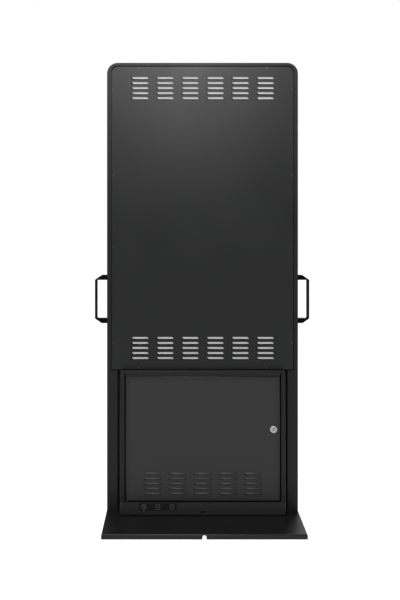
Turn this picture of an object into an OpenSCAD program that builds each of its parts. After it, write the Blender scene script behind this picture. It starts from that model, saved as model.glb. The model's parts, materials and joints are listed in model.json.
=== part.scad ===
// Portrait floor-standing touchscreen kiosk in folded sheet steel.
// +Z is up, the screen faces -Y, the service side faces +Y.
// The origin is on the floor, under the middle of the floor plate.

/* [Upright] */
// Width of the upright
width = 800; // [796:2:812]
// Height from the floor to the top of the upright
height = 1900; // [1880:10:1940]
// Radius of the upright's top corners
corner_r = 45; // [30:1:50]
// Thickness of the folded sheet
sheet = 2; // [1.5:0.1:2]
// Width of the rear rim beside the rear cover
rim_side = 16.5; // [14:0.5:18]
// Height of the rear rim above the rear cover
rim_top = 12; // [10:1:16]
// Width of the strips beside the equipment cabinet
strip_w = 42; // [38:1:44]

/* [Floor plate] */
// Depth of the floor plate, front to rear
base_depth = 518; // [480:2:540]
// How far the floor plate stands out beyond each side of the upright
base_overhang = 3; // [0:0.5:6]
// Height of the floor plate
base_height = 20; // [20:1:24]
// Width of the arched cable outlet in the rear edge
outlet_w = 16.5; // [12:0.5:20]

/* [Rear cover] */
// Gap around the cover and around the door
seam = 4; // [2:0.5:5]
// Columns of vent slots
vent_columns = 6; // [4:2:6]
// Rows of vent slots in each bank
vent_rows = 5; // [3:2:5]
// Length of a vent slot
vent_w = 71; // [60:1:76]
// Height of a vent slot
vent_h = 12.5; // [9:0.5:13]

/* [Cabinet] */
// Width of the equipment cabinet
cabinet_w = 686; // [680:2:690]
// How far the cabinet stands out behind the upright
cabinet_proud = 41; // [36:1:45]
// Columns of door louvres
louvre_columns = 5; // [3:2:5]
// Rows of door louvres
louvre_rows = 5; // [3:1:5]

/* [Handles] */
// How far a handle stands out from the side
handle_out = 55.7; // [54:0.1:64]
// Overall length of a handle
handle_h = 204; // [190:2:220]
// Width of the handle bar, front to rear
handle_bar = 25; // [20:1:28]
// Height of the middle of the handles
handle_z = 904; // [880:1:930]

/* [Screen] */
// Width of the visible picture
picture_w = 690; // [684:1:694]
// Height of the visible picture
picture_h = 1220; // [1214:2:1226]

/* [Hidden] */
$fn = 48;

// Planes of the upright
y_front = -55;
y_rear = 45;
y_cab = y_rear + cabinet_proud;
half_w = width / 2;
y_cover = y_rear - sheet;
cover_fold = 8;
y_ledge = y_cover - cover_fold - sheet;

// Rear cover and its vent banks
cover_half = half_w - rim_side - seam;
cover_z0 = 615.5;
cover_z1 = height - rim_top - seam;
bank_z = [705, height - 105];
vent_pitch_x = 105;
vent_pitch_z = 21.1;
holder_shift = 3.5;
cover_screw_z = [727, 1125, 1429, height - 111];
cover_screw_x = 268;
screw_inset = 6;
ledge_rail = 26;
cover_skin = 1.5;

// Equipment cabinet and its door
cab_half = cabinet_w / 2;
cab_top = cover_z0 - seam;
cab_front = -40;
y_frame = y_cab - 8;
flange_d = 16;
door_half = cab_half - 23;
opening_half = door_half + seam;
rail_top = 75;
rail_foot = 24;
lip_z = 597.5;
door_z0 = rail_top + seam;
door_z1 = lip_z - 1;
door_depth = 15;
door_bend = 5;
pivot = [door_half - 7, y_cab - 7];
pin_r = 2.5;
lock_x = -292;
lock_z = 377;
louvre_w = 64;
louvre_relief = 4;
louvre_h = 9;
louvre_pitch_x = 104;
louvre_pitch_z = 20.6;
louvre_z = 152.7;

// Panel sockets in the cabinet's bottom rail
port_x = [244, 186, 127];
port_z = 55;
port_r = 9.5;
window_w = 157;
window_h = 32;
y_panel_out = y_cab - sheet;
usb_z = [-4.9, 4.9];

// Floor fixings and cable holes
anchor_x = 280;
anchor_y = [-15, 65];
anchor_r = 5.5;
bolt_spots = [[386, 27, 23], [360, -30, 23], [150, 20, 22]];
cable_hole = [0, 10];
cable_hole_r = 20;
skirt_y = base_depth / 2 - 3;
base_half = half_w + base_overhang;
stud_x = -27;
stud_z = 9.5;
ballast_z = 10;
plate_skin = 3;
outlet_top = base_height - plate_skin - outlet_w / 2;

// Handles
handle_y = -12;
handle_grip = 9.2;
handle_foot = 27;
handle_slope = 18;
handle_bolt_z = handle_h / 2 - 10;

// Screen stack, from the front skin back
screen_z = height - 650;
stack_half = 372;
stack_h = 637;
y_glass = y_front + 10;
y_panel = y_glass + 5;
y_back = y_panel + 22;
rail_z = [920, 1580];
rail_screw_x = 200;

// Fans behind the upper vents
fan_x = 157.5;
fan_z = bank_z[1];
fan_y = 9.5;
fan_r = 55;

// Equipment in the cabinet
player = [-135, 390];
supply = [167.5, 217.5];
inlet_x = 240;
rocker_x = 195;
rocker_y = 8;
rocker_tilt = 10;
wire_y = -14;
wire_bend_z = 620;
wire_rear_y = 16;
wire_x = [-135, 90];

// ---- Helpers ----

// Box between two opposite corners
module box(a, b) translate(a) cube(b - a);

// Box on both sides of the middle plane, from x0 to x1
module both_sides(x0, x1, y0, y1, z0, z1)
    for (s = [0, 1]) mirror([s, 0, 0]) box([x0, y0, z0], [x1, y1, z1]);

// Plate whose outline lies in the XZ plane, from y0 to y1
module plate(y0, y1) translate([0, y1, 0]) rotate([90, 0, 0]) linear_extrude(y1 - y0) children();

// Cylinder along Y, from y0 to y1
module rod_y(x, z, y0, y1, r) translate([x, y1, z]) rotate([90, 0, 0]) cylinder(r = r, h = y1 - y0);

// Cylinder along X, from x0 to x1
module rod_x(y, z, x0, x1, r) translate([x0, y, z]) rotate([0, 90, 0]) cylinder(r = r, h = x1 - x0);

// Cylinder along Z, from z0 to z1
module rod_z(x, y, z0, z1, r) translate([x, y, z0]) cylinder(r = r, h = z1 - z0);

// Rectangle with its two upper corners rounded
module arch(half, z0, z1, r) {
    translate([-half, z0]) square([2 * half, z1 - r - z0]);
    translate([r - half, z0]) square([2 * (half - r), z1 - z0]);
    for (s = [-1, 1]) translate([s * (half - r), z1 - r]) circle(r);
}

// Upright's front outline, drawn in by inset
module outline(inset, z0) arch(half_w - inset, z0, height - inset, corner_r - inset);

// Slot with round ends, centred at a point
module slot(x, z, w, h) translate([x, z]) {
    square([w - h, h], center = true);
    for (s = [-1, 1]) translate([s * (w - h) / 2, 0]) circle(h / 2);
}

// Solid whose edges around the +Y face are rounded
module soft_slab(x0, x1, z0, z1, y0, y1, r) intersection() {
    translate([0, 0, z0]) linear_extrude(z1 - z0) {
        translate([x0, y0]) square([x1 - x0, y1 - r - y0]);
        translate([x0 + r, y0]) square([x1 - x0 - 2 * r, y1 - y0]);
        for (x = [x0 + r, x1 - r]) translate([x, y1 - r]) circle(r);
    }
    translate([x0, 0, 0]) rotate([90, 0, 90]) linear_extrude(x1 - x0) {
        translate([y0, z0]) square([y1 - r - y0, z1 - z0]);
        translate([y0, z0 + r]) square([y1 - y0, z1 - z0 - 2 * r]);
        for (z = [z0 + r, z1 - r]) translate([y1 - r, z]) circle(r);
    }
}

// Wire of round section through a list of points, with flat ends
module wire(points, r) {
    for (i = [1 : len(points) - 2]) translate(points[i]) sphere(r);
    for (i = [1 : len(points) - 1]) {
        step = points[i] - points[i - 1];
        translate(points[i - 1])
            rotate([0, acos(step.z / norm(step)), atan2(step.y, step.x)])
                cylinder(r = r, h = norm(step));
    }
}

// Centres of a row of n features with a pitch
function row_of(n, pitch) = [for (i = [0 : n - 1]) (i - (n - 1) / 2) * pitch];

// ---- Floor plate ----

module plate_shell(inset, top, r) rotate([90, 0, 0])
    soft_slab(inset - base_half, base_half - inset, -skirt_y + inset, base_depth / 2 - inset,
        -5, top, r);

module base_plate() color("#1b1c1e") difference() {
    intersection() {
        plate_shell(0, base_height, 5);
        box([-base_half, -base_depth / 2, 0.5], [base_half, skirt_y, base_height]);
    }
    plate_shell(plate_skin, base_height - plate_skin, 2);
    rod_y(0, outlet_top, skirt_y - 5, skirt_y + 1, outlet_w / 2);
    box([-outlet_w / 2, skirt_y - 5, -1], [outlet_w / 2, skirt_y + 1, outlet_top]);
    rod_y(stud_x, stud_z, skirt_y - 5, skirt_y + 1, 4.2);
    rod_z(cable_hole.x, cable_hole.y, 0, base_height + 1, cable_hole_r);
    floor_holes(0, base_height + 1, 4.5);
}

// Clearance holes for the upright's bolts and the floor anchors
module floor_holes(z0, z1, bolt_hole_r) for (s = [-1, 1]) {
    for (b = bolt_spots) rod_z(s * b.x, b.y, z0, z1, bolt_hole_r);
    for (y = anchor_y) rod_z(s * anchor_x, y, z0, z1, anchor_r);
}

module base_ballast() color("#6a6c70") difference() {
    both_sides(36, half_w - 5, -base_depth / 2 + 5, skirt_y - 5, ballast_z, base_height - plate_skin);
    floor_holes(0, base_height, 4);
}

module base_feet() color("#2a2a2a")
    for (x = [-360, -120, 120, 360], y = [-215, 215]) difference() {
        rod_z(x, y, 0, ballast_z, 20);
        rod_z(x, y, -1, 1.5, 12);
    }

module base_bolts() color("#8d9095") for (s = [-1, 1], b = bolt_spots) {
    translate([s * b.x, b.y, b.z]) cylinder(r = 7.5, h = 5.3, $fn = 6);
    rod_z(s * b.x, b.y, ballast_z, b.z, 3.95);
}

// Blackened earthing stud with its washer and nut
module earth_stud() color("#3a3b3e") {
    rod_y(stud_x, stud_z, skirt_y - 12, skirt_y, 4);
    rod_y(stud_x, stud_z, skirt_y, skirt_y + 1.2, 8);
    translate([stud_x, skirt_y + 3, stud_z]) rotate([90, 0, 0]) cylinder(r = 7.5, h = 1.8, $fn = 6);
}

// ---- Upright ----

// Folded sides and top, with a bolting flange along the foot of each side
module outer_case() color("#202124") difference() {
    union() {
        plate(y_front + sheet, y_cover) difference() {
            outline(0, base_height);
            outline(sheet, base_height - 1);
        }
        both_sides(cab_half + 3, half_w - 1, y_front + sheet, y_cover, base_height, 23);
    }
    for (s = [-1, 1], b = bolt_spots) rod_z(s * b.x, b.y, base_height - 1, 24, 4.5);
    handle_holes(half_w - 5, half_w + 1, 3.3);
}

// Rim of the upright's open back, with wider strips beside the cabinet
module rear_rim() color("#202124") difference() {
    union() {
        plate(y_cover, y_rear) difference() {
            outline(0, base_height);
            rim_opening(0);
            translate([strip_w - half_w, 0]) square([2 * (half_w - strip_w), cab_top + 1]);
        }
        // Stepped ledge that the rear cover lies on, with the rail above the cabinet
        plate(y_ledge, y_ledge + sheet) difference() {
            intersection() {
                outline(sheet, base_height);
                translate([-half_w, cab_top + 0.5]) square([width, height]);
            }
            arch(half_w - 38, cab_top + ledge_rail, height - 34, corner_r - 25);
        }
        plate(y_ledge, y_rear) difference() {
            rim_opening(sheet);
            rim_opening(0);
        }
        both_sides(half_w - strip_w - sheet, half_w - strip_w, 18, y_rear, 23, cab_top);
    }
    cover_screw_holes(y_ledge - 1, y_rear);
}

module rim_opening(grow)
    arch(half_w - rim_side + grow, cab_top, height - rim_top + grow, corner_r - 17 + grow);

module handle_holes(x0, x1, r) for (s = [0, 1], z = [-1, 1]) mirror([s, 0, 0])
    rod_x(handle_y, handle_z + z * handle_bolt_z, x0, x1, r);

// Calls its children at the middle of every screw of the rear cover
module at_cover_screws() {
    for (s = [-1, 1], z = cover_screw_z) translate([s * (cover_half - screw_inset), 0, z]) children();
    for (s = [-1, 1], z = [cover_z0 + screw_inset, cover_z1 - screw_inset])
        translate([s * cover_screw_x, 0, z]) children();
}

module cover_screw_holes(y0, y1) at_cover_screws() rod_y(0, 0, y0, y1 + 1, 1.7);

module tube_z(x0, x1, y0, y1, z0, z1) difference() {
    box([x0, y0, z0], [x1, y1, z1]);
    box([x0 + 2, y0 + 2, z0 - 1], [x1 - 2, y1 - 2, z1 + 1]);
}

module inner_frame() color("#77797d") difference() {
    union() {
        for (s = [0, 1]) mirror([s, 0, 0])
            tube_z(half_w - 27, half_w - sheet, -32, 8, 23, height - 60);
        for (z = rail_z) difference() {
            box([27 - half_w, y_back, z - 20], [half_w - 27, 8, z + 20]);
            box([-half_w, y_back + 2, z - 18], [half_w, 6, z + 18]);
        }
    }
    handle_holes(half_w - 30, half_w, 3.3);
    for (x = [-1, 1], z = rail_z) rod_y(x * rail_screw_x, z, y_back - 1, 9, 3.3);
}

module front_bezel() color("#18191b") difference() {
    union() {
        plate(y_front, y_front + sheet) outline(0, 600);
        plate(y_front + sheet, y_front + 14) difference() {
            outline(sheet + 0.3, 602.3);
            outline(2 * sheet + 0.3, 604.3);
        }
    }
    plate(y_front - 1, y_front + 3) translate([-picture_w / 2, screen_z - picture_h / 2])
        square([picture_w, picture_h]);
}

module lower_front_panel() color("#18191b") difference() {
    union() {
        box([-half_w, y_front, base_height], [half_w, y_front + sheet, 598]);
        box([2.3 - half_w, y_front + sheet, 24], [half_w - 2.3, y_front + 14, 596]);
    }
    box([4.3 - half_w, y_front + sheet, 26], [half_w - 4.3, y_front + 15, 594]);
}

// ---- Screen ----

module screen_ring(y0, y1, half, tall, in_w, in_h) plate(y0, y1) translate([0, screen_z])
    difference() {
        square([2 * half, 2 * tall], center = true);
        square([in_w, in_h], center = true);
    }

module touch_frame() color("#111111")
    screen_ring(y_front + sheet, y_glass, stack_half, stack_h, picture_w, picture_h);

module touch_glass() color("#2f3a3f")
    box([-stack_half, y_glass, screen_z - stack_h], [stack_half, y_glass + 4, screen_z + stack_h]);

module screen_gasket() color("#1d1d1d")
    screen_ring(y_glass + 4, y_panel, 355, 620, picture_w, picture_h);

module lcd_module() color("#3c3f44") difference() {
    box([-355, y_panel, screen_z - 620], [355, y_back, screen_z + 620]);
    box([-340.2, y_panel - 1, screen_z - 604.8], [340.2, y_panel + 2, screen_z + 604.8]);
    for (x = [-1, 1], z = rail_z) rod_y(x * rail_screw_x, z, y_back - 8, y_back + 1, 3.1);
}

module display_screws() color("#9a9da1") for (x = [-1, 1], z = rail_z) {
    rod_y(x * rail_screw_x, z, y_back - 7, 8, 3);
    rod_y(x * rail_screw_x, z, 8, 12, 5.5);
}

module vented_box(a, b, wall, fins) difference() {
    box(a, b);
    box(a + [wall, wall, wall], b - [wall, wall, wall]);
    for (x = row_of(fins, 12)) box([(a.x + b.x) / 2 + x - 2.5, b.y - wall - 1, b.z - 34],
        [(a.x + b.x) / 2 + x + 2.5, b.y + 1, b.z - 10]);
}

module display_controller() color("#85888c")
    vented_box([-100, y_back, 1000], [100, 24, 1150], 1.5, 11);

module touch_controller() color("#505357")
    vented_box([200, y_back, 700], [290, 3, 760], 1.5, 5);

// ---- Rear cover, filters and fans ----

module vents(z, dx, dz)
    for (x = row_of(vent_columns, vent_pitch_x), r = row_of(vent_rows, vent_pitch_z))
        slot(x + dx, z + r + dz, vent_w, vent_h);

// Shallow tray, open to the front, whose folded edge stands on the ledge
module rear_cover() color("#2b2d31") difference() {
    union() {
        plate(y_cover, y_rear) difference() {
            cover_outline(0);
            for (z = bank_z) vents(z, 0, -holder_shift / 2);
        }
        plate(y_cover - cover_fold, y_cover) difference() {
            cover_outline(0);
            cover_outline(cover_skin);
        }
    }
    cover_screw_holes(y_cover - 1, y_rear);
}

module cover_outline(inset)
    arch(cover_half - inset, cover_z0 + inset, cover_z1 - inset, corner_r - 20 - inset);

module cover_stiffeners() color("#4a4c50") for (x = [-210, 210]) difference() {
    union() {
        box([x - 26, y_cover - 1.2, 800], [x + 26, y_cover, height - 200]);
        box([x - 15, y_cover - 9, 800], [x + 15, y_cover - 1, height - 200]);
    }
    box([x - 13.8, y_cover - 7.8, 799], [x + 13.8, y_cover + 1, height - 199]);
}

module cover_screws() color("#3a3b3e") at_cover_screws() difference() {
    union() {
        rod_y(0, 0, y_ledge - 3, y_rear, 1.45);
        rod_y(0, 0, y_rear, y_rear + 1.6, 3);
    }
    box([-0.4, y_rear + 0.7, -1.8], [0.4, y_rear + 2, 1.8]);
    box([-1.8, y_rear + 0.7, -0.4], [1.8, y_rear + 2, 0.4]);
}

module filter_holder(z) color("#101112") difference() {
    plate(y_cover - 7, y_cover) translate([0, z]) square([630, 132], center = true);
    plate(y_cover - 5.8, y_cover - 1.5) translate([0, z]) square([627, 129], center = true);
    plate(y_cover - 8, y_cover - 5) translate([0, z]) square([615, 117], center = true);
    plate(y_cover - 3, y_cover + 1) vents(z, -4, holder_shift / 2);
}

module filter_holder_upper() filter_holder(bank_z[1]);
module filter_holder_lower() filter_holder(bank_z[0]);

module filter_mat(z) color("#f0f0ec")
    plate(y_cover - 5.7, y_cover - 1.6) translate([0, z]) square([626, 128], center = true);

module filter_mat_upper() filter_mat(bank_z[1]);
module filter_mat_lower() filter_mat(bank_z[0]);

module fan_bracket() color("#6f7276") plate(fan_y + 25, y_cover - 7) translate([0, fan_z])
    difference() {
        square([626, 128], center = true);
        for (x = [-1, 1]) translate([x * fan_x, 0]) circle(57);
    }

// One fan frame with its hub, struts and shaft, about its own axis
module fan_frame() difference() {
    union() {
        difference() {
            translate([-60, -60, 0]) cube([120, 120, 25]);
            translate([0, 0, -1]) cylinder(r = 57, h = 27);
        }
        cylinder(r = 20, h = 3);
        for (a = [45 : 90 : 315]) rotate([0, 0, a]) translate([0, -2.5, 0]) cube([64, 5, 3]);
        cylinder(r = 2, h = 18);
    }
    for (x = [-52.5, 52.5], y = [-52.5, 52.5]) translate([x, y, -1]) cylinder(r = 2.2, h = 27);
}

module fan_housings() color("#1c1d1f") for (x = [-1, 1])
    translate([x * fan_x, fan_y, fan_z]) rotate([-90, 0, 0]) fan_frame();

// Hub with seven pitched blades on the fan's shaft
module fan_rotor(x) color("#26282b") translate([x, fan_y, fan_z]) rotate([-90, 0, 0])
    difference() {
        union() {
            translate([0, 0, 4]) cylinder(r = 19, h = 17);
            intersection() {
                translate([0, 0, 4.5]) cylinder(r = fan_r, h = 16);
                for (i = [0 : 6]) rotate([0, 0, i * 360 / 7]) translate([17, 0, 12.5])
                    rotate([38, 0, 0]) translate([0, -14, -0.8]) cube([fan_r, 28, 1.6]);
            }
        }
        translate([0, 0, 3]) cylinder(r = 2.05, h = 16);
    }

module fan_rotor_left() fan_rotor(fan_x);
module fan_rotor_right() fan_rotor(-fan_x);

// ---- Cabinet ----

// Sides, front wall, top and floor, open to the rear
module cabinet_box() color("#232427") difference() {
    box([-cab_half, cab_front, base_height], [cab_half, y_frame, cab_top]);
    box([sheet - cab_half, cab_front + sheet, base_height + sheet],
        [cab_half - sheet, y_frame - sheet, cab_top - sheet]);
    box([sheet - cab_half, y_frame - sheet - 1, rail_foot + 5],
        [cab_half - sheet, y_frame + 1, cab_top - sheet]);
    floor_holes(base_height - 1, base_height + 3, 4.5);
    rod_z(cable_hole.x, cable_hole.y, base_height - 1, base_height + 3, cable_hole_r);
    for (x = wire_x) rod_z(x, wire_y, cab_top - 3, cab_top + 1, 9);
    // Grooves in the top that carry on the reliefs beside the lip
    both_sides(door_half, opening_half, y_rear, y_frame + 1, cab_top - 1.2, cab_top + 1);
}

// Outline of the cabinet's rear face in plan, drawn in by inset
module frame_outline(inset) {
    half = cab_half - inset;
    r = 4 - inset;
    translate([-half, y_frame]) square([2 * half, y_cab - y_frame - inset - r]);
    translate([r - half, y_frame]) square([2 * (half - r), y_cab - y_frame - inset]);
    for (s = [-1, 1]) translate([s * (half - r), y_cab - inset - r]) circle(r);
}

// Shallow tray that closes the cabinet's rear face, from z0 to z1
module rear_tray(z0, z1) difference() {
    translate([0, 0, z0]) linear_extrude(z1 - z0) frame_outline(0);
    translate([0, 0, rail_foot + sheet]) linear_extrude(cab_top - rail_foot - 2 * sheet) {
        frame_outline(sheet);
        translate([sheet - cab_half, y_frame - 1]) square([2 * (cab_half - sheet), 2]);
    }
}

// Stiles beside the door, with their return flanges, and the lip above it
module cabinet_frame() color("#232427") {
    difference() {
        rear_tray(rail_top, cab_top);
        box([-opening_half, y_cab - 5, rail_top - 1], [opening_half, y_cab + 1, lip_z]);
        // Reliefs beside the down-turned lip
        both_sides(door_half, opening_half, y_cab - 3, y_cab + 1, lip_z - 1, cab_top + 1);
        both_sides(door_half, opening_half, y_frame - 1, y_cab + 1, cab_top - 1.2, cab_top + 1);
    }
    both_sides(opening_half, opening_half + sheet, y_cab - flange_d, y_cab - 1, rail_top, lip_z);
}

// Rail under the door, which carries the panel sockets
module cabinet_rail() color("#232427") difference() {
    union() {
        rear_tray(rail_foot, rail_top);
        box([-opening_half, y_cab - flange_d, rail_top - sheet], [opening_half, y_cab - 1, rail_top]);
    }
    plate(y_cab - 3, y_cab + 1) translate([port_x[1], port_z]) square([window_w, window_h], center = true);
    plate(y_cab - 3, y_cab + 1) slot(0, 35, 18, 5.5);
    rod_z(pivot.x, pivot.y, rail_top - 3, rail_top + 1, pin_r + 0.1);
}

// Hood of a formed louvre: a curved shell, closed at its ends and open underneath
module louvre_hood() {
    rise = 4.2;
    r = (pow(louvre_h / 2, 2) + pow(rise, 2)) / (2 * rise);
    difference() {
        rod_x(rise - r, 0, -louvre_w / 2, louvre_w / 2, r);
        rod_x(rise - r, 0, -louvre_w / 2 + 1.5, louvre_w / 2 - 1.5, r - 1.3);
        box([-louvre_w, -10, -10], [louvre_w, -sheet / 2, 10]);
        box([-louvre_w / 2 + 1.5, -5, -10], [louvre_w / 2 - 1.5, rise + 1, -1.6]);
    }
}

module at_louvres()
    for (x = row_of(louvre_columns, louvre_pitch_x), z = row_of(louvre_rows, louvre_pitch_z))
        translate([x, y_cab, louvre_z + z]) children();

module cabinet_door() color("#2a2c2f") {
    difference() {
        soft_slab(-door_half, door_half, door_z0, door_z1, y_cab - door_depth, y_cab, door_bend);
        soft_slab(2 - door_half, door_half - 2, door_z0 + 2, door_z1 - 2,
            y_cab - door_depth - 5, y_cab - 2, door_bend - 2);
        rod_y(lock_x, lock_z, y_cab - 3, y_cab + 1, 9.2);
        rod_z(pivot.x, pivot.y, door_z0 - 1, door_z0 + 3, 3.85);
        rod_z(pivot.x, pivot.y, door_z1 - 3, door_z1 + 1, 3.85);
        at_louvres() box([-louvre_w / 2 + 1.5, -3, -3], [louvre_w / 2 - 1.5, 1, 2.6]);
        at_louvres() for (s = [0, 1]) mirror([s, 0, 0])
            box([louvre_w / 2 + 0.7, -3, -3.8], [louvre_w / 2 + louvre_relief, 1, 0.8]);
    }
    at_louvres() louvre_hood();
}

module door_stiffener() color("#3a3c40") difference() {
    union() {
        box([-26, y_cab - 3.2, 240], [26, y_cab - 2, 585]);
        box([-15, y_cab - 11, 240], [15, y_cab - 3, 585]);
    }
    box([-13.8, y_cab - 9.8, 239], [13.8, y_cab, 586]);
}

// Flanged bushes in the door's top and bottom edges
module door_bushes() color("#3c3d3f") difference() {
    union() {
        rod_z(pivot.x, pivot.y, door_z0 - 1, door_z0 + 8, 3.8);
        rod_z(pivot.x, pivot.y, door_z0 - 1, door_z0, 4.6);
        rod_z(pivot.x, pivot.y, door_z1 - 8, door_z1 + 0.5, 3.8);
        rod_z(pivot.x, pivot.y, door_z1, door_z1 + 0.5, 4.6);
    }
    rod_z(pivot.x, pivot.y, door_z0 - 2, door_z1 + 2, pin_r + 0.05);
}

// Z-shaped bracket that hangs the upper pin from the cabinet's top
module hinge_bracket() color("#8c8f93") difference() {
    union() {
        box([pivot.x - 13, y_cab - 21, lip_z + 0.5], [pivot.x + 6, y_cab - 2, lip_z + 3.5]);
        box([pivot.x - 13, y_cab - 21, lip_z + 0.5], [pivot.x + 6, y_cab - 18, cab_top - 2]);
    }
    rod_z(pivot.x, pivot.y, lip_z - 1, lip_z + 5, pin_r + 0.1);
}

module hinge_pins() color("#b4b7bb") {
    rod_z(pivot.x, pivot.y, rail_top - 8, door_z0 + 10, pin_r);
    rod_z(pivot.x, pivot.y, rail_top, rail_top + 2.7, 4.6);
    translate([pivot.x, pivot.y, rail_top - 6]) cylinder(r = 4.6, h = 4, $fn = 6);
    rod_z(pivot.x, pivot.y, door_z1 - 9, lip_z + 8, pin_r);
    rod_z(pivot.x, pivot.y, lip_z + 3.5, lip_z + 5.5, 4.6);
}

// ---- Cam lock ----

module lock_body() color("#c9ccd0") difference() {
    union() {
        rod_y(lock_x, lock_z, y_cab - 16.8, y_cab, 9);
        rod_y(lock_x, lock_z, y_cab, y_cab + 2, 14.5);
        rod_y(lock_x, lock_z, y_cab + 2, y_cab + 3.2, 13);
    }
    rod_y(lock_x, lock_z, y_cab - 18, y_cab + 4, 6.05);
    rod_y(lock_x, lock_z, y_cab + 1.6, y_cab + 4, 9);
}

module lock_nut() color("#a9acb0") difference() {
    translate([lock_x, y_cab - 2, lock_z]) rotate([90, 0, 0]) cylinder(r = 13.8, h = 4.5, $fn = 6);
    rod_y(lock_x, lock_z, y_cab - 8, y_cab, 9.1);
}

// Plug for a tubular key: a ring-shaped keyway around a middle post, with a notch
module lock_plug() color("#d3d6da") difference() {
    union() {
        rod_y(lock_x, lock_z, y_cab - 16.9, y_cab + 1.7, 6);
        rod_y(lock_x, lock_z, y_cab + 1.7, y_cab + 3.6, 8.6);
        rod_y(lock_x, lock_z, y_cab - 19.6, y_cab - 16.9, 4);
    }
    difference() {
        rod_y(lock_x, lock_z, y_cab - 8, y_cab + 5, 5);
        rod_y(lock_x, lock_z, y_cab - 9, y_cab + 6, 2.9);
    }
    box([lock_x - 1.1, y_cab - 4, lock_z + 4], [lock_x + 1.1, y_cab + 5, lock_z + 6.6]);
    rod_y(lock_x, lock_z, y_cab - 21, y_cab - 13, 2);
}

// Cam hangs down when the lock is open and turns behind the stile to lock
module lock_cam() color("#b0b3b7") difference() {
    union() {
        rod_y(lock_x, lock_z, y_cab - 19.5, y_cab - 17, 9.5);
        box([lock_x - 8, y_cab - 19.5, lock_z - 44], [lock_x + 8, y_cab - 17, lock_z]);
    }
    rod_y(lock_x, lock_z, y_cab - 21, y_cab - 16, 4.05);
}

module cam_screw() color("#9a9da1") {
    rod_y(lock_x, lock_z, y_cab - 19.6, y_cab - 13.5, 1.95);
    translate([lock_x, y_cab - 19.6, lock_z]) rotate([90, 0, 0]) cylinder(r = 5.5, h = 2.6, $fn = 6);
}

// ---- Panel sockets ----

// Calls its children at each of the rail's weld studs for the socket panel
module at_panel_studs() for (s = [-1, 1], z = [-10, 10])
    translate([port_x[1] + s * (window_w / 2 + 5), 0, port_z + z]) children();

// Plate behind the window in the rail, which holds the three sockets
module socket_panel() color("#141415") difference() {
    plate(y_panel_out - 1.5, y_panel_out) difference() {
        translate([port_x[1], port_z]) square([window_w + 20, window_h + 3], center = true);
        for (x = port_x) translate([x, port_z]) circle(port_r + 0.2);
    }
    at_panel_studs() rod_y(0, 0, y_panel_out - 2, y_panel_out + 1, 1.7);
}

// Weld studs and their nuts
module panel_nuts() color("#8d9095") at_panel_studs() {
    rod_y(0, 0, y_panel_out - 6, y_panel_out, 1.5);
    translate([0, y_panel_out - 1.5, 0]) rotate([90, 0, 0]) cylinder(r = 3.1, h = 2.4, $fn = 6);
}

module port_barrel(x) rod_y(x, port_z, y_panel_out - 22, y_panel_out, port_r);

module port_ethernet() color("#2c2d30") difference() {
    union() {
        port_barrel(port_x[0]);
        rod_y(port_x[0], port_z + 1, y_panel_out, y_cab - 0.5, 11);
        box([port_x[0] - 4, y_panel_out, port_z - 14], [port_x[0] + 4, y_cab - 0.5, port_z]);
    }
    box([port_x[0] - 6, y_cab - 14, port_z - 3.4], [port_x[0] + 6, y_cab + 1, port_z + 5.4]);
    box([port_x[0] - 3.2, y_cab - 14, port_z - 5.6], [port_x[0] + 3.2, y_cab + 1, port_z]);
}

// Two sockets, one above the other, behind one oblong front
module port_usb(x) color("#2c2d30") {
    difference() {
        union() {
            port_barrel(x);
            box([x - 9.5, y_panel_out, port_z - 12], [x + 9.5, y_cab - 0.5, port_z + 12]);
        }
        for (z = usb_z)
            box([x - 6.7, y_cab - 14, port_z + z - 3], [x + 6.7, y_cab + 1, port_z + z + 3]);
    }
    for (z = usb_z) box([x - 5.6, y_cab - 14.1, port_z + z], [x + 5.6, y_cab - 4, port_z + z + 1.9]);
}

module port_usb_left() port_usb(port_x[1]);
module port_usb_right() port_usb(port_x[2]);

// ---- Wiring and equipment ----

module harness_grommets() color("#151515") for (x = wire_x) difference() {
    union() {
        rod_z(x, wire_y, cab_top - 3.5, cab_top + 1.5, 8.9);
        rod_z(x, wire_y, cab_top, cab_top + 1.5, 11);
    }
    rod_z(x, wire_y, cab_top - 5, cab_top + 3, 5.1);
}

module floor_grommet() color("#151515") difference() {
    union() {
        rod_z(cable_hole.x, cable_hole.y, base_height - 3, base_height + 4, cable_hole_r - 0.1);
        rod_z(cable_hole.x, cable_hole.y, base_height + 2, base_height + 4, cable_hole_r + 4);
    }
    rod_z(cable_hole.x, cable_hole.y, 0, base_height + 5, 14);
}

// Flat computer with a ribbed front
module media_player() color("#3d4045") difference() {
    box([player.x - 95, -36.4, player.y - 90], [player.x + 95, 8.5, player.y + 90]);
    for (z = row_of(9, 14)) box([player.x - 75, 5.5, player.y + z - 3],
        [player.x + 75, 9, player.y + z + 3]);
}

module player_bracket() color("#7d8085") {
    box([player.x - 70, cab_front + 2, player.y - 92], [player.x + 70, -36.4, player.y + 92]);
    box([player.x - 70, cab_front + 2, player.y - 92], [player.x, -12, player.y - 90]);
    for (x = [-70, 30]) box([player.x + x, cab_front + 2, player.y + 90],
        [player.x + x + 40, -12, player.y + 92]);
}

module power_supply() color("#9b9ea2") difference() {
    vented_box([supply.x - 107.5, cab_front + 2, supply.y - 57.5],
        [supply.x + 107.5, 12, supply.y + 57.5], 1.5, 7);
    box([inlet_x - 13.2, 8, supply.y - 22.2], [inlet_x + 13.2, 13, supply.y + 6.2]);
    box([rocker_x - 10.7, 8, supply.y - 23.2], [rocker_x + 10.7, 13, supply.y + 8.2]);
}

// Three-pin appliance inlet
module mains_inlet() color("#141414") translate([inlet_x, 0, supply.y - 8]) {
    difference() {
        union() {
            box([-13, -8, -14], [13, 12, 14]);
            box([-15, 12, -16], [15, 14, 16]);
        }
        box([-12, -4, -8.5], [12, 15, 8.5]);
    }
    for (p = [[-7, -4], [0, 0], [7, -4]]) box([p.x - 1, -4.1, p.y - 2], [p.x + 1, 11, p.y + 2]);
}

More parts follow.
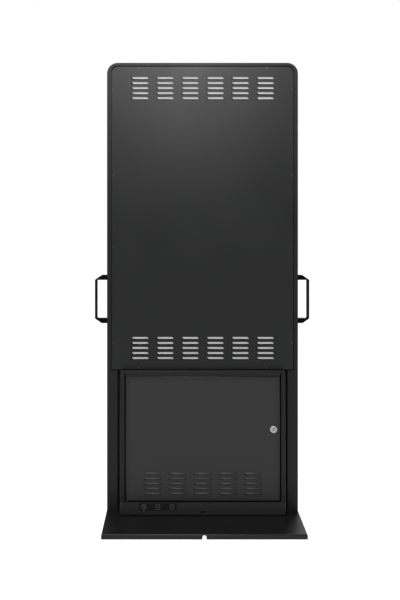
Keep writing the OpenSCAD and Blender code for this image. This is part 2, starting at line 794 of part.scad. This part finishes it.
module switch_body() color("#141414") translate([rocker_x, 0, supply.y - 7.5]) difference() {
    union() {
        box([-10.5, -6, -15.5], [10.5, 12, 15.5]);
        box([-12, 12, -17], [12, 14, 17]);
    }
    box([-7.5, -3, -12], [7.5, 15, 12]);
    rod_x(rocker_y, 0, -9.5, 9.5, 1.55);
}

module power_rocker() color("#b3221e") translate([rocker_x, rocker_y, supply.y - 7.5])
    rotate([-rocker_tilt, 0, 0]) {
        translate([-7, 0, 0]) rotate([90, 0, 90]) linear_extrude(14)
            polygon([[-4, -5], [1, -9.8], [6, -9.8], [4.6, 0], [6, 9.8], [1, 9.8], [-4, 5]]);
        rod_x(0, 0, -9.3, 9.3, 1.5);
    }

// Lead from a box in the cabinet, up through the grommet to the box behind the screen
module screen_lead(x, z) wire([[x, wire_y, z], [x, wire_y, wire_bend_z],
    [x, wire_rear_y, wire_bend_z], [x, wire_rear_y, 1000]], 5);

// Picture lead, and the three leads from the panel sockets to the computer
module signal_harness() color("#16171a") {
    screen_lead(wire_x[0], player.y + 90);
    for (i = [0 : 2]) {
        y = -30 + 8 * i;
        x = -60 - 20 * i;
        wire([[port_x[i], y_panel_out - 22, port_z], [port_x[i], y, port_z], [x, y, port_z],
            [x, y, player.y - 90]], 3);
    }
}

// Screen supply lead and the computer's supply lead
module power_harness() color("#16171a") {
    screen_lead(wire_x[1], supply.y + 57.5);
    wire([[supply.x - 107.5, wire_y, 200], [10, wire_y, 200], [10, wire_y, 350],
        [player.x + 95, wire_y, 350]], 4);
}

// ---- Handles ----

// Outline of a pull handle with flat ends and sloping shoulders
module handle_profile() {
    top = handle_h / 2;
    inner = handle_out - handle_grip;
    difference() {
        polygon([[0, -top], [handle_foot, -top], [handle_out - 2, -top + handle_slope],
            [handle_out, -top + handle_slope + 3], [handle_out, top - handle_slope - 3],
            [handle_out - 2, top - handle_slope], [handle_foot, top], [0, top]]);
        translate([-1, 24 - top]) square([inner + 1, handle_h - 48]);
        translate([-1, 20 - top]) square([inner - 3, handle_h - 40]);
        for (s = [-1, 1]) translate([inner - 4, s * (top - 24)]) circle(4);
    }
}

module handle() difference() {
    translate([half_w, 0, handle_z]) plate(handle_y - handle_bar / 2, handle_y + handle_bar / 2)
        handle_profile();
    for (s = [-1, 1]) rod_x(handle_y, handle_z + s * handle_bolt_z, half_w - 1, half_w + 16, 3.1);
}

module handle_left() color("#0f0f10") handle();
module handle_right() color("#0f0f10") mirror([1, 0, 0]) handle();

module handle_bolts() color("#8d9095") {
    handle_holes(half_w - 27, half_w + 14, 3);
    handle_holes(half_w - 32, half_w - 27, 5);
}

base_plate();
base_ballast();
base_feet();
base_bolts();
earth_stud();
outer_case();
rear_rim();
inner_frame();
front_bezel();
lower_front_panel();
touch_frame();
touch_glass();
screen_gasket();
lcd_module();
display_screws();
display_controller();
touch_controller();
rear_cover();
cover_stiffeners();
cover_screws();
filter_holder_upper();
filter_holder_lower();
filter_mat_upper();
filter_mat_lower();
fan_bracket();
fan_housings();
fan_rotor_left();
fan_rotor_right();
cabinet_box();
cabinet_frame();
cabinet_rail();
cabinet_door();
door_stiffener();
door_bushes();
hinge_bracket();
hinge_pins();
lock_body();
lock_nut();
lock_plug();
lock_cam();
cam_screw();
port_ethernet();
port_usb_left();
port_usb_right();
socket_panel();
panel_nuts();
harness_grommets();
floor_grommet();
media_player();
player_bracket();
power_supply();
mains_inlet();
switch_body();
power_rocker();
signal_harness();
power_harness();
handle_left();
handle_right();
handle_bolts();
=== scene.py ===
import json
import math

import bmesh
import bpy
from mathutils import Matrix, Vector, noise


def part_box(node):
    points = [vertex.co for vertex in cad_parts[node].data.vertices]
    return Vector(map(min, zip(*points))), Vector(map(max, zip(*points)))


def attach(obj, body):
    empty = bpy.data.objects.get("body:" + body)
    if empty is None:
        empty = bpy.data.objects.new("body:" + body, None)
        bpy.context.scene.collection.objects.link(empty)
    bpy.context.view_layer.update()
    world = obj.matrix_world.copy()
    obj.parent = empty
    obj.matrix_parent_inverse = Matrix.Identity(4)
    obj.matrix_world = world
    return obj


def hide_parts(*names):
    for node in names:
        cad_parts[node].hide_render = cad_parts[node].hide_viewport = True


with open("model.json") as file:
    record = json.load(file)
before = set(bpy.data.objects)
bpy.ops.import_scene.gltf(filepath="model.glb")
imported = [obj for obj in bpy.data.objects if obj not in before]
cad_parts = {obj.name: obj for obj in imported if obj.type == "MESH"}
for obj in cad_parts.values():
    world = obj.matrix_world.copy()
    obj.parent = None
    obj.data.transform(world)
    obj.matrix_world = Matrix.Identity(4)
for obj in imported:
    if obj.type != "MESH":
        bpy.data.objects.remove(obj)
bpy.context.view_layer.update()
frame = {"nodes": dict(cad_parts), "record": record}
NODES = frame["nodes"]
SLOT_OF = {s["node"]: s["material_slot"] for s in frame["record"]["subparts"]}
MM = 0.001


# ---------------------------------------------------------------- camera, floor and light

CAMERA_AWAY = 3.0          # metres from the plane of the rear cover
CAMERA_HEIGHT = 1.296
CAMERA_SIDE = 0.109
LENS = 42.96
SENSOR = 36
SHIFT = (0.0392, -0.155)   # the view stays level while the kiosk fills the frame

# A softbox high behind the camera, one overhead, and a soft fill for the far side:
# place, the point it is aimed at, size and watts
LIGHTS = {
    "back_softbox": ((0.02, 4.6, 3.45), (0, 0, 1.9), (0.78, 1.9), 172),
    "top_softbox": ((0.7, 1.1, 3.9), (0, 0.1, 0.5), (2.6, 1.7), 165),
    "front_softbox": ((-1.2, -4.2, 3.2), (0, 0, 1.0), (2.6, 2.0), 60),
}

# Strength of the surroundings in reflections, and the heights between which it grows
GLOW_LOW, GLOW_HIGH = 0.08, 0.5
GLOW_FROM, GLOW_TO = 0.05, 0.85

FLOOR_HALF = 12
FLOOR_GREY = (0.25, 0.25, 0.25)
FLOOR_GLOW = 0.93


def make_camera():
    data = bpy.data.cameras.new("camera")
    data.lens = LENS
    data.sensor_width = SENSOR
    data.shift_x, data.shift_y = SHIFT
    data.dof.use_dof = False
    camera = bpy.data.objects.new("camera", data)
    camera.location = (CAMERA_SIDE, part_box("rear_cover")[1].y + CAMERA_AWAY, CAMERA_HEIGHT)
    camera.rotation_euler = (math.radians(90), 0, math.radians(180))
    bpy.context.scene.collection.objects.link(camera)
    bpy.context.scene.camera = camera


def area_light(name, place, aim, size, watts):
    data = bpy.data.lights.new(name, "AREA")
    data.shape = "RECTANGLE"
    data.size, data.size_y = size
    data.energy = watts
    lamp = bpy.data.objects.new(name, data)
    lamp.location = place
    lamp.rotation_euler = (Vector(aim) - Vector(place)).to_track_quat("-Z", "Y").to_euler()
    bpy.context.scene.collection.objects.link(lamp)


def make_lights():
    for name, (place, aim, size, watts) in LIGHTS.items():
        area_light(name, place, aim, size, watts)


def make_world():
    """White to the camera; in reflections, dim near the horizon and brighter overhead"""
    world = bpy.data.worlds.new("studio")
    bpy.context.scene.world = world
    world.use_nodes = True
    nodes, links = world.node_tree.nodes, world.node_tree.links
    background = nodes["Background"]
    coord = nodes.new("ShaderNodeTexCoord")
    split = nodes.new("ShaderNodeSeparateXYZ")
    rise = nodes.new("ShaderNodeMapRange")
    rise.inputs["From Min"].default_value = GLOW_FROM
    rise.inputs["From Max"].default_value = GLOW_TO
    rise.inputs["To Min"].default_value = GLOW_LOW
    rise.inputs["To Max"].default_value = GLOW_HIGH
    links.new(coord.outputs["Generated"], split.inputs[0])
    links.new(split.outputs["Z"], rise.inputs["Value"])
    seen = nodes.new("ShaderNodeLightPath")
    strength = nodes.new("ShaderNodeMath")
    strength.operation = "MAXIMUM"
    links.new(rise.outputs[0], strength.inputs[0])
    links.new(seen.outputs["Is Camera Ray"], strength.inputs[1])
    links.new(strength.outputs[0], background.inputs["Strength"])
    background.inputs["Color"].default_value = (1, 1, 1, 1)


def make_floor():
    """A plain floor, lit evenly by a glow of its own"""
    mesh = bpy.data.meshes.new("floor")
    corners = [(x * FLOOR_HALF, y * FLOOR_HALF, 0) for x, y in ((-1, -1), (1, -1), (1, 1), (-1, 1))]
    mesh.from_pydata(corners, [], [(0, 1, 2, 3)])
    floor = bpy.data.objects.new("floor", mesh)
    bpy.context.scene.collection.objects.link(floor)
    paint = Paint("floor", FLOOR_GREY, 0.9, 0.0, 0.1)
    paint.shader.inputs["Emission Color"].default_value = (1, 1, 1, 1)
    paint.shader.inputs["Emission Strength"].default_value = FLOOR_GLOW
    paint.mottle(paint.noise(3), 0.01)
    floor.data.materials.append(paint.material)


# ---------------------------------------------------------------- materials

class Paint:
    """A procedural material, built up a layer at a time"""

    def __init__(self, name, colour, roughness, metallic=0.0, specular=0.5):
        self.material = bpy.data.materials.new(name)
        self.material.use_nodes = True
        self.nodes, self.links = self.material.node_tree.nodes, self.material.node_tree.links
        self.shader = self.nodes["Principled BSDF"]
        self.shader.inputs["Base Color"].default_value = (*colour, 1)
        self.shader.inputs["Roughness"].default_value = roughness
        self.shader.inputs["Metallic"].default_value = metallic
        self.shader.inputs["Specular IOR Level"].default_value = specular
        self.colour, self.roughness = colour, roughness
        self.coord = self.nodes.new("ShaderNodeTexCoord")
        self.last_normal = None

    def noise(self, scale, detail=3, stretch=(1, 1, 1)):
        mapping = self.nodes.new("ShaderNodeMapping")
        mapping.inputs["Scale"].default_value = stretch
        self.links.new(self.coord.outputs["Object"], mapping.inputs[0])
        texture = self.nodes.new("ShaderNodeTexNoise")
        texture.inputs["Scale"].default_value = scale
        texture.inputs["Detail"].default_value = detail
        self.links.new(mapping.outputs[0], texture.inputs["Vector"])
        return texture.outputs["Fac"]

    def spread(self, source, low, high, start=0.3, stop=0.7):
        """source, from start to stop, as a number from low to high"""
        node = self.nodes.new("ShaderNodeMapRange")
        node.inputs["From Min"].default_value, node.inputs["From Max"].default_value = start, stop
        node.inputs["To Min"].default_value, node.inputs["To Max"].default_value = low, high
        self.links.new(source, node.inputs["Value"])
        return node.outputs[0]

    def mottle(self, source, amount):
        """Base colour varies by amount, brighter and darker, with source"""
        ramp = self.nodes.new("ShaderNodeMix")
        ramp.data_type = "RGBA"
        ramp.inputs["A"].default_value = (*[c * (1 - amount) for c in self.colour], 1)
        ramp.inputs["B"].default_value = (*[min(1, c * (1 + amount)) for c in self.colour], 1)
        self.links.new(self.spread(source, 0, 1), ramp.inputs["Factor"])
        self.links.new(ramp.outputs["Result"], self.shader.inputs["Base Color"])

    def paint_shade_at_edges(self, low, high, reach, share):
        """Painted shade: base colour, within reach of an upright panel's border, falls to a share of
        itself.
        low and high are the panel's corners"""
        split = self.nodes.new("ShaderNodeSeparateXYZ")
        self.links.new(self.coord.outputs["Object"], split.inputs[0])
        inside = []
        for axis, a, b in (("X", low.x, high.x), ("Z", low.z, high.z)):
            offset = self.maths("SUBTRACT", split.outputs[axis], (a + b) / 2)
            inside.append(self.maths("SUBTRACT", (b - a) / 2, self.maths("ABSOLUTE", offset, 0)))
        depth = self.maths("MINIMUM", *inside)
        shade = self.nodes.new("ShaderNodeMix")
        shade.data_type = "RGBA"
        shade.inputs["A"].default_value = (*[c * share for c in self.colour], 1)
        self.links.new(self.shader.inputs["Base Color"].links[0].from_socket, shade.inputs["B"])
        self.links.new(self.spread(depth, 0, 1, 0, reach), shade.inputs["Factor"])
        self.links.new(shade.outputs["Result"], self.shader.inputs["Base Color"])

    def maths(self, operation, *values):
        """Result of an operation on numbers and on other nodes' outputs"""
        node = self.nodes.new("ShaderNodeMath")
        node.operation = operation
        for socket, value in zip(node.inputs, values):
            if isinstance(value, (int, float)):
                socket.default_value = value
            else:
                self.links.new(value, socket)
        return node.outputs[0]

    def rough(self, source, amount):
        """Roughness varies by amount, up and down, with source"""
        self.links.new(self.spread(source, self.roughness - amount, self.roughness + amount),
                       self.shader.inputs["Roughness"])

    def bump(self, source, strength, height):
        """Relief from source, on top of any relief there is"""
        node = self.nodes.new("ShaderNodeBump")
        node.inputs["Strength"].default_value = strength
        node.inputs["Distance"].default_value = height
        self.links.new(source, node.inputs["Height"])
        if self.last_normal:
            self.links.new(self.last_normal, node.inputs["Normal"])
        self.last_normal = node.outputs[0]
        self.links.new(self.last_normal, self.shader.inputs["Normal"])


def coat_layers(name, colour, roughness, specular, grain=1300):
    """Satin powder coat: fine orange peel, soft patches of gloss"""
    paint = Paint(name, colour, roughness, 0.0, specular)
    paint.bump(paint.noise(grain, 2), 0.22, 0.00012)
    paint.mottle(paint.noise(grain * 0.7, 1), 0.20)
    paint.rough(paint.noise(4, 3), 0.03)
    return paint


def powder_coat(name, colour, roughness=0.42, specular=0.26, grain=1300):
    return coat_layers(name, colour, roughness, specular, grain).material


def door_coat_with_painted_shade():
    """Powder coat with painted shade, darker along the door's border"""
    paint = coat_layers("door_black", (0.0116, 0.0118, 0.0118), 0.42, 0.25)
    # painted shade: the colour falls to half within 28 mm of the door's border
    paint.paint_shade_at_edges(*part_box("cabinet_door"), reach=28 * MM, share=0.5)
    return paint.material


def plated(name, colour, roughness, stretch=(1, 1, 1)):
    """Plated or mill-finished metal with fine drawn lines"""
    paint = Paint(name, colour, roughness, 1.0)
    lines = paint.noise(900, 3, stretch)
    paint.bump(lines, 0.12, 0.0001)
    paint.mottle(paint.noise(60, 4), 0.12)
    paint.rough(lines, 0.06)
    return paint.material


def moulded(name, colour, roughness, specular=0.4):
    """Moulded plastic or rubber with a fine spark-eroded grain"""
    paint = Paint(name, colour, roughness, 0.0, specular)
    paint.bump(paint.noise(2200, 2), 0.2, 0.0001)
    paint.mottle(paint.noise(25, 3), 0.12)
    paint.rough(paint.noise(180, 2), 0.05)
    return paint.material


def filter_mat(name):
    """Non-woven mat: loose crossing fibres"""
    paint = Paint(name, (0.45, 0.45, 0.445), 0.95)
    for stretch in ((1, 1, 9), (9, 1, 1)):
        paint.bump(paint.noise(700, 4, stretch), 0.5, 0.0006)
    paint.mottle(paint.noise(420, 5), 0.06)
    paint.shader.inputs["Sheen Weight"].default_value = 0.3
    return paint.material


def screen_glass(name):
    """Tempered glass with faint smears from hands"""
    paint = Paint(name, (0.004, 0.004, 0.005), 0.07)
    paint.rough(paint.noise(7, 4), 0.03)
    paint.mottle(paint.noise(2, 2), 0.2)
    return paint.material


def slot_finishes():
    """One finish for each material slot of the record"""
    return {
        "case_black": powder_coat("case_black", (0.0046, 0.0048, 0.0048), 0.40, 0.17),
        "cover_black": powder_coat("cover_black", (0.0050, 0.0052, 0.0056), 0.37, 0.215),
        "door_black": door_coat_with_painted_shade(),
        "front_black": powder_coat("front_black", (0.0085, 0.0085, 0.0090), 0.36),
        "plate_black": powder_coat("plate_black", (0.0026, 0.0026, 0.0028), 0.42, 0.24),
        "handle_black": powder_coat("handle_black", (0.0014, 0.0014, 0.0014), 0.38, 0.03, 1800),
        "zinc_plated": plated("zinc_plated", (0.62, 0.62, 0.60), 0.28),
        "chrome_lock": plated("chrome_lock", (0.33, 0.34, 0.35), 0.26),
        "black_screw": plated("black_screw", (0.06, 0.06, 0.06), 0.38),
        "bare_steel": plated("bare_steel", (0.42, 0.43, 0.44), 0.45, (1, 14, 1)),
        "galvanised": plated("galvanised", (0.52, 0.54, 0.55), 0.40),
        "rubber_black": moulded("rubber_black", (0.012, 0.012, 0.012), 0.70),
        "cable_black": moulded("cable_black", (0.012, 0.012, 0.013), 0.55),
        "plastic_black": moulded("plastic_black", (0.011, 0.011, 0.012), 0.46),
        "rocker_red": moulded("rocker_red", (0.42, 0.016, 0.014), 0.30),
        "device_grey": plated("device_grey", (0.16, 0.165, 0.17), 0.42, (1, 1, 12)),
        "screen_back": moulded("screen_back", (0.006, 0.006, 0.007), 0.25),
        "glass_dark": screen_glass("glass_dark"),
        "filter_white": filter_mat("filter_white"),
    }


def node_finishes():
    """Finishes of nodes that look unlike the rest of their slot"""
    socket_grey = moulded("socket_grey_twin", (0.020, 0.020, 0.020), 0.42)
    # painted shade: the filter holders get a near-black, nearly unreflecting finish, seen through the
    # vent slots as their shaded lower and left edges
    holder_shade_black = moulded("holder_shade_black", (0.0012, 0.0012, 0.0012), 0.60, 0.05)
    return {
        "socket_panel": moulded("socket_panel_black", (0.0058, 0.0058, 0.0060), 0.62, 0.12),
        "port_ethernet": moulded("socket_grey", (0.030, 0.030, 0.030), 0.42),
        "port_usb_left": socket_grey,
        "port_usb_right": socket_grey,
        # painted light: the box takes a lighter copy of the case's coat so that its top reads lit
        "cabinet_box": powder_coat("box_painted_light", (0.0128, 0.0128, 0.0125), 0.44, 0.21),
        "filter_holder_upper": holder_shade_black,
        "filter_holder_lower": holder_shade_black,
        # painted light: the rail takes a lighter copy of the case's coat, standing in for light it
        # does not catch
        "cabinet_rail": powder_coat("rail_painted_light", (0.0098, 0.0099, 0.0096)),
        "base_bolts": plated("black_bolt", (0.020, 0.020, 0.020), 0.50),
        "earth_stud": plated("black_stud", (0.030, 0.030, 0.030), 0.45),
    }


def detail_finishes():
    """Finishes of the pieces added inside the lock and the sockets"""
    return {
        # painted shade: near-black, nearly unreflecting finish for the ring that darkens the lock's
        # keyway
        "keyway_shade": moulded("keyway_shade_black", (0.0012, 0.0012, 0.0012), 0.60, 0.05),
        "pins": plated("pin_steel", (0.10, 0.10, 0.10), 0.35),
        "shells": plated("shell_steel", (0.17, 0.17, 0.165), 0.34),
        "contacts": plated("contact_gold", (0.40, 0.29, 0.12), 0.30),
    }


# ---------------------------------------------------------------- the CAD nodes' edges

# Radius, in mm, of the broken or folded edges of each node
EDGE_RADIUS = {
    "outer_case": 0.6, "rear_rim": 0.5, "rear_cover": 0.6, "cabinet_frame": 0.5,
    "cabinet_rail": 0.5, "cabinet_box": 0.5, "cabinet_door": 0.25, "base_plate": 0.5,
    "front_bezel": 0.7, "lower_front_panel": 0.7, "handle_left": 1.2, "handle_right": 1.2,
    "lock_body": 0.35, "lock_plug": 0.25, "port_ethernet": 0.4, "port_usb_left": 0.4,
    "port_usb_right": 0.4, "media_player": 0.6, "power_supply": 0.4, "mains_inlet": 0.4,
    "switch_body": 0.4, "power_rocker": 0.5, "cover_screws": 0.25, "earth_stud": 0.3,
    "lock_nut": 0.3, "lock_cam": 0.3, "fan_housings": 0.6, "fan_rotor_left": 0.3,
    "fan_rotor_right": 0.3, "touch_frame": 0.3, "display_controller": 0.4,
    "touch_controller": 0.4, "hinge_bracket": 0.3, "door_stiffener": 0.4,
}


WELD_WITHIN = 0.01 * MM
FLAT_WITHIN = math.radians(0.5)    # faces closer to one plane than this become one face
SHARP_FROM = math.radians(50)      # folds and corners; the facets of round faces stay


def soften_edges():
    """Clean up each mesh's flat faces, then round its sharp edges"""
    for name, radius in EDGE_RADIUS.items():
        obj = NODES[name]
        weld = obj.modifiers.new("weld", "WELD")
        weld.merge_threshold = WELD_WITHIN
        flatten = obj.modifiers.new("flatten", "DECIMATE")
        flatten.decimate_type = "DISSOLVE"
        flatten.angle_limit = FLAT_WITHIN
        bevel = obj.modifiers.new("edges", "BEVEL")
        bevel.width = radius * MM
        bevel.segments = 2
        bevel.limit_method = "ANGLE"
        bevel.angle_limit = SHARP_FROM
        bevel.harden_normals = True


def dress_cad_nodes(by_slot, by_node):
    for name, obj in NODES.items():
        obj.data.materials.clear()
        obj.data.materials.append(by_node[name] if name in by_node else by_slot[SLOT_OF[name]])


# ---------------------------------------------------------------- added detail

def piece(name, mesh_edit, body, material):
    """New mesh object, filled in by mesh_edit, that rides on a body"""
    bm = bmesh.new()
    mesh_edit(bm)
    mesh = bpy.data.meshes.new(name)
    bmesh.ops.recalc_face_normals(bm, faces=bm.faces)
    bm.to_mesh(mesh)
    bm.free()
    mesh.materials.append(material)
    obj = bpy.data.objects.new(name, mesh)
    bpy.context.scene.collection.objects.link(obj)
    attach(obj, body)
    return obj


def add_block(bm, low, high, soft):
    """Box with softened edges"""
    low, high = Vector(low), Vector(high)
    made = bmesh.ops.create_cube(bm, size=1)["verts"]
    for v in made:
        v.co = (low + high) / 2 + Vector([v.co[i] * (high - low)[i] for i in range(3)])
    edges = list({e for v in made for e in v.link_edges})
    bmesh.ops.bevel(bm, geom=edges, offset=soft, segments=2, affect="EDGES", profile=0.5)


def add_tube(bm, low, high, wall):
    """Open rectangular shell along Y, with walls of its own"""
    x0, y0, z0 = low
    x1, y1, z1 = high
    outer = [(x0, z0), (x1, z0), (x1, z1), (x0, z1)]
    inner = [(x0 + wall, z0 + wall), (x1 - wall, z0 + wall),
             (x1 - wall, z1 - wall), (x0 + wall, z1 - wall)]
    rings = [[bm.verts.new((x, y, z)) for x, z in ring] for ring in (outer, inner) for y in (y0, y1)]
    back, front, inner_back, inner_front = rings
    for i in range(4):
        j = (i + 1) % 4
        bm.faces.new((back[i], back[j], front[j], front[i]))
        bm.faces.new((inner_back[i], inner_back[j], inner_front[j], inner_front[i]))
        bm.faces.new((front[i], front[j], inner_front[j], inner_front[i]))
        bm.faces.new((back[i], back[j], inner_back[j], inner_back[i]))


FIBRE_STEP = 2.2 * MM     # grid of the mat's surface
FIBRE_SWELL = 1.6 * MM    # depth of its lumps
FIBRE_LUMPS = 160         # lumps' scale, per metre


def half_lump(x, z, seed):
    """Height of the mat's lumps at a point, from -0.5 to 0.5"""
    lump = noise.fractal(Vector((x * FIBRE_LUMPS, z * FIBRE_LUMPS, seed)), 1.0, 2.0, 4)
    return 0.5 * max(-1, min(1, lump))


def add_mat(bm, low, high):
    """Soft slab whose +Y face is a field of shallow lumps, fading out towards its border"""
    columns = round((high.x - low.x) / FIBRE_STEP)
    rows = round((high.z - low.z) / FIBRE_STEP)
    top = []
    for j in range(rows + 1):
        for i in range(columns + 1):
            x = low.x + (high.x - low.x) * i / columns
            z = low.z + (high.z - low.z) * j / rows
            edge = min(1, min(i, columns - i, j, rows - j) / 2)
            sunk = FIBRE_SWELL * (0.5 - half_lump(x, z, low.z) * edge)
            top.append(bm.verts.new((x, high.y - sunk, z)))
    across = columns + 1
    for j in range(rows):
        for i in range(columns):
            k = j * across + i
            bm.faces.new((top[k], top[k + 1], top[k + across + 1], top[k + across])).smooth = True
    rim = list(range(across))
    rim += [j * across + columns for j in range(1, rows + 1)]
    rim += [rows * across + i for i in range(columns - 1, -1, -1)]
    rim += [j * across for j in range(rows - 1, 0, -1)]
    under = [bm.verts.new((top[k].co.x, low.y, top[k].co.z)) for k in rim]
    for a in range(len(rim)):
        b = (a + 1) % len(rim)
        bm.faces.new((top[rim[a]], top[rim[b]], under[b], under[a]))
    bm.faces.new(under)


def make_filter_mats(material):
    """Fibre mats that stand for the two flat filter mats"""
    for node in ("filter_mat_upper", "filter_mat_lower"):
        low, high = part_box(node)
        mat = piece(node.replace("mat", "fibres"), lambda bm: add_mat(bm, low, high),
                    "kiosk", material)
        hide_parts(node)


def add_ring(bm, centre, y0, y1, r0, r1, sides=48):
    """Ring about the Y axis, from y0 to y1 and from radius r0 to r1"""
    loops = []
    for r, y in ((r0, y0), (r1, y0), (r1, y1), (r0, y1)):
        loops.append([bm.verts.new((centre.x + r * math.cos(a), y, centre.z + r * math.sin(a)))
                      for a in (2 * math.pi * i / sides for i in range(sides))])
    for k in range(4):
        one, two = loops[k], loops[(k + 1) % 4]
        for i in range(sides):
            j = (i + 1) % sides
            bm.faces.new((one[i], one[j], two[j], two[i]))


KEYWAY_R = (2.95 * MM, 4.95 * MM)
# painted shade: a near-black ring inside the keyway groove darkens it
KEYWAY_SHADE_Y = (4 * MM, 0.9 * MM)      # its two ends, below the plug's face
LOCK_PINS = 7
LOCK_PIN_CIRCLE = 3.95 * MM
LOCK_PIN_R = (0.1 * MM, 0.55 * MM)
LOCK_PIN_Y = (2 * MM, 0.7 * MM)


def make_lock_details(keyway_shade_black, pin_steel):
    """Near-black ring at the bottom of the ring-shaped keyway, painted shade for its groove, with the
    lock's pins
    """
    low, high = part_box("lock_plug")
    centre, face = (low + high) / 2, high.y

    def keyway_shade(bm):
        add_ring(bm, centre, face - KEYWAY_SHADE_Y[0], face - KEYWAY_SHADE_Y[1], *KEYWAY_R)

    def pins(bm):
        for i in range(LOCK_PINS):
            a = math.pi / 2 + (i + 0.5) * 2 * math.pi / LOCK_PINS
            pin = centre + LOCK_PIN_CIRCLE * Vector((math.cos(a), 0, math.sin(a)))
            add_ring(bm, pin, face - LOCK_PIN_Y[0], face - LOCK_PIN_Y[1], *LOCK_PIN_R, sides=12)

    piece("lock_keyway_shade", keyway_shade, "lock_rotor", keyway_shade_black)
    piece("lock_pins", pins, "lock_rotor", pin_steel)


TWIN_RISE = 4.9 * MM                  # each opening's centre, above or below the socket's
SHELL_HALF_X, SHELL_HALF_Z = 6.65 * MM, 2.95 * MM
SHELL_DEPTH = 12 * MM
SHELL_PROUD = 0.25 * MM
SHELL_WALL = 0.35 * MM
TWIN_CONTACTS = (-3.6 * MM, -1.2 * MM, 1.2 * MM, 3.6 * MM)
TWIN_CONTACT_HALF = 0.5 * MM
TWIN_CONTACT_Y = (11 * MM, 4.2 * MM)  # its two ends, below the socket's face
TWIN_CONTACT_Z = (-0.3 * MM, 0.05 * MM)


def make_twin_socket(node, shell_steel, gold):
    """Metal shells in both openings of a twin socket, and sprung contacts"""
    low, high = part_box(node)
    middle, face = (low.x + high.x) / 2, high.y
    levels = [(low.z + high.z) / 2 + rise for rise in (-TWIN_RISE, TWIN_RISE)]

    def shells(bm):
        for z in levels:
            add_tube(bm, (middle - SHELL_HALF_X, face - SHELL_DEPTH, z - SHELL_HALF_Z),
                     (middle + SHELL_HALF_X, face + SHELL_PROUD, z + SHELL_HALF_Z), SHELL_WALL)

    def contacts(bm):
        for z in levels:
            for x in (middle + dx for dx in TWIN_CONTACTS):
                add_block(bm, (x - TWIN_CONTACT_HALF, face - TWIN_CONTACT_Y[0], z + TWIN_CONTACT_Z[0]),
                          (x + TWIN_CONTACT_HALF, face - TWIN_CONTACT_Y[1], z + TWIN_CONTACT_Z[1]),
                          0.1 * MM)

    piece(node + "_shells", shells, "kiosk", shell_steel)
    piece(node + "_contacts", contacts, "kiosk", gold)


NETWORK_CONTACTS = 8
NETWORK_PITCH = 1.02 * MM
NETWORK_CONTACT_HALF = 0.22 * MM
NETWORK_CONTACT_Y = (13 * MM, 3.5 * MM)
NETWORK_CONTACT_Z = (18.1 * MM, 18.7 * MM)    # above the bottom of the socket's body


def make_network_contacts(gold):
    low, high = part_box("port_ethernet")
    middle, face = (low.x + high.x) / 2, high.y

    def contacts(bm):
        for i in range(NETWORK_CONTACTS):
            x = middle + (i - (NETWORK_CONTACTS - 1) / 2) * NETWORK_PITCH
            add_block(bm, (x - NETWORK_CONTACT_HALF, face - NETWORK_CONTACT_Y[0],
                           low.z + NETWORK_CONTACT_Z[0]),
                      (x + NETWORK_CONTACT_HALF, face - NETWORK_CONTACT_Y[1],
                       low.z + NETWORK_CONTACT_Z[1]), 0.08 * MM)

    piece("port_ethernet_contacts", contacts, "kiosk", gold)


# ---------------------------------------------------------------- the scene

bpy.context.scene.view_settings.view_transform = "Standard"
make_camera()
make_world()
make_lights()
make_floor()
finishes = slot_finishes()
dress_cad_nodes(finishes, node_finishes())
soften_edges()
make_filter_mats(finishes["filter_white"])
details = detail_finishes()
for socket in ("port_usb_left", "port_usb_right"):
    make_twin_socket(socket, details["shells"], details["contacts"])
make_network_contacts(details["contacts"])
make_lock_details(details["keyway_shade"], details["pins"])
